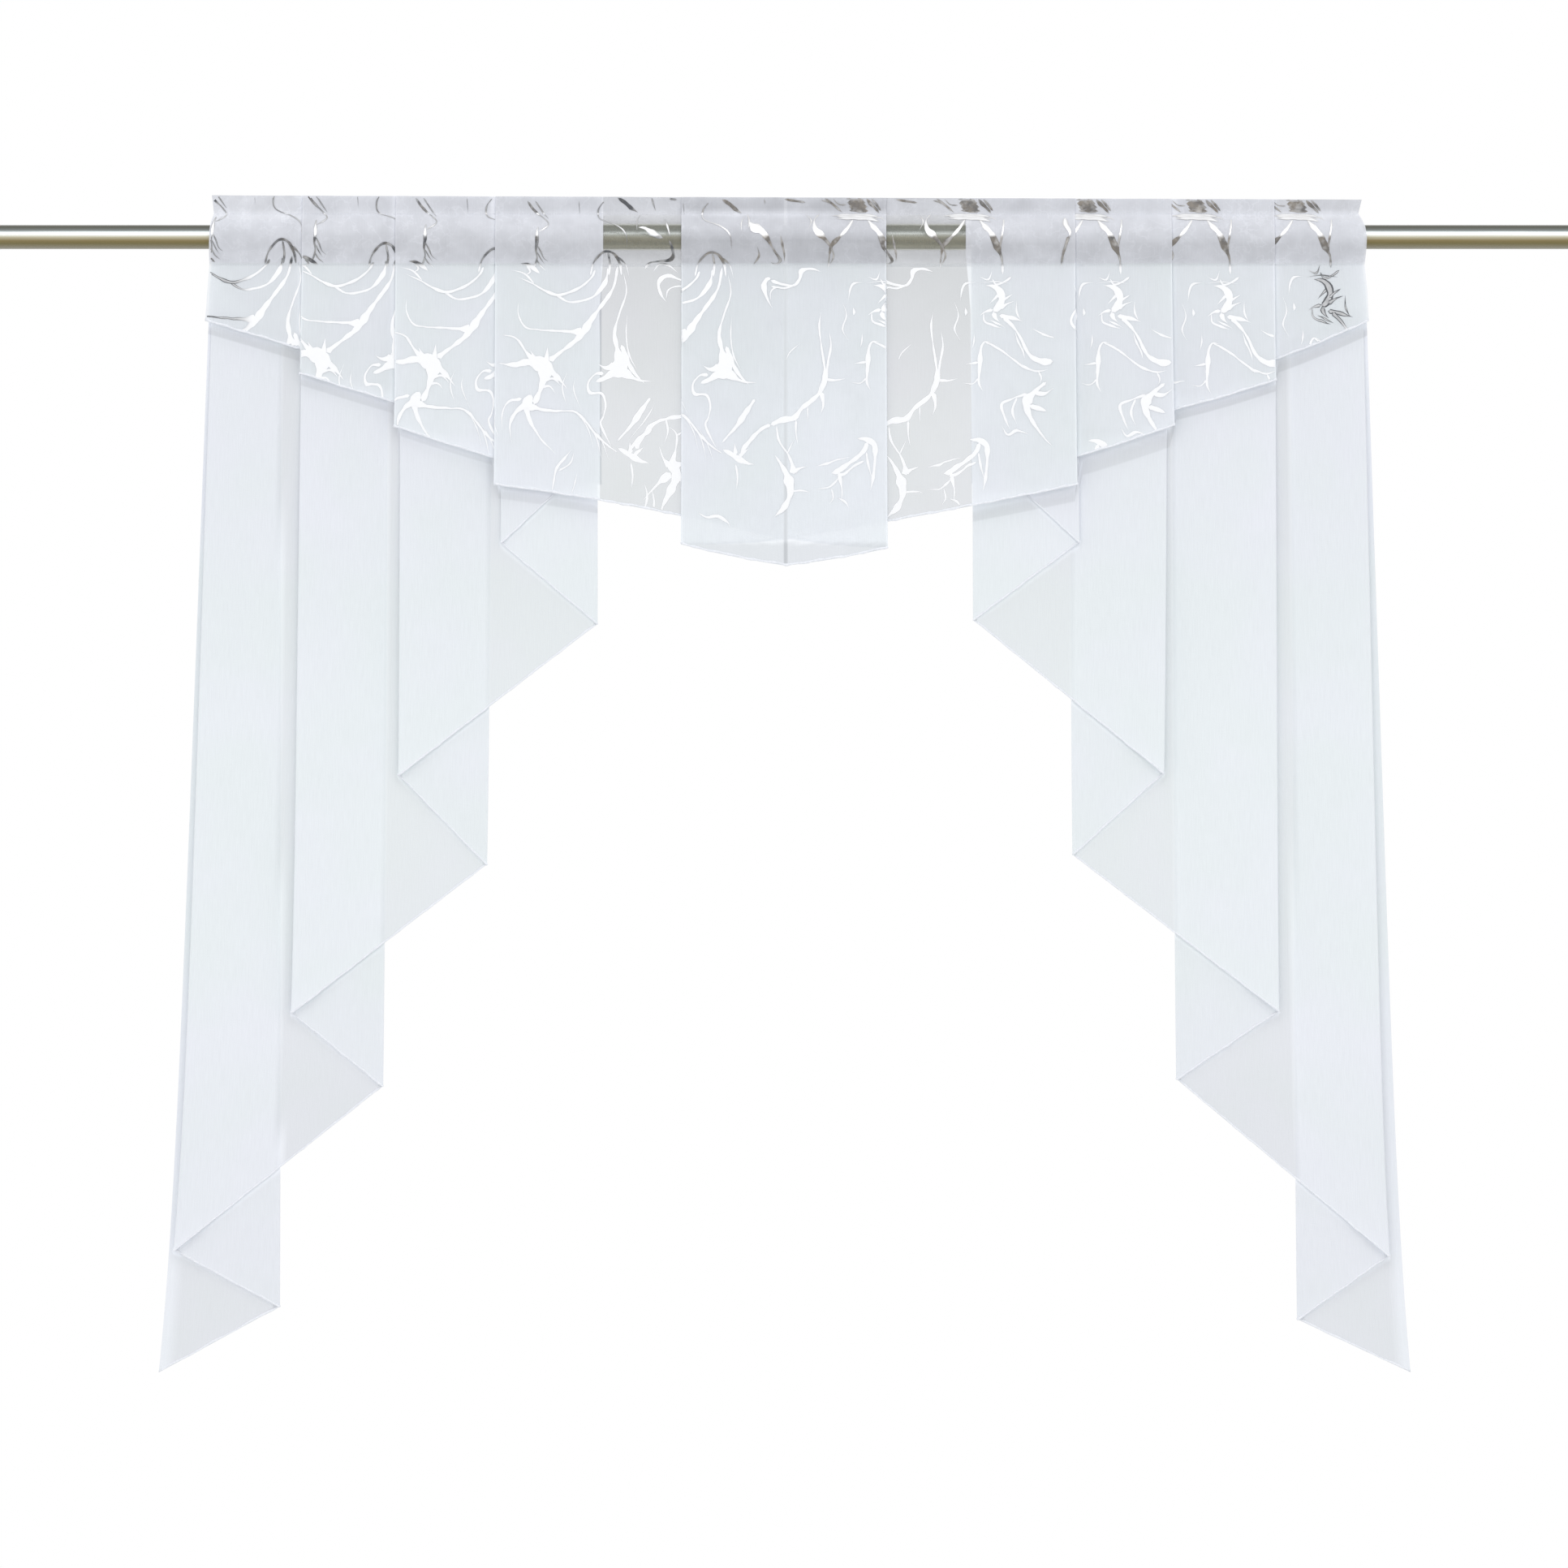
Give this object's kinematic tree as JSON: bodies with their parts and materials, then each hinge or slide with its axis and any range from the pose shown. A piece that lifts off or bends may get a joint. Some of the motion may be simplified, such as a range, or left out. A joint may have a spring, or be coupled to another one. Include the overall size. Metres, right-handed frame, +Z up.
{
  "type": "pleated cafe curtain on a rod",
  "caption": "Pleated voile curtain with a rod pocket and side cascades whose slanting hems fall in zigzag steps, hung on a straight round rod.",
  "frame": {"origin": "on the rod's axis, at the middle of the curtain's width", "axes": "+X along the rod, -Y the front of the curtain, +Z up"},
  "size_m": [1.7, 0.0445, 1.227],
  "materials": {
    "rod_steel": "brushed, warm grey",
    "marble_voile": "sheer white voile with a silver foil marble print",
    "voile": "sheer plain white voile"
  },
  "bodies": {
    "root": {"rod": "rod_steel", "valance": "marble_voile", "cascade_left": "voile", "cascade_right": "voile"}
  },
  "joints": []
}
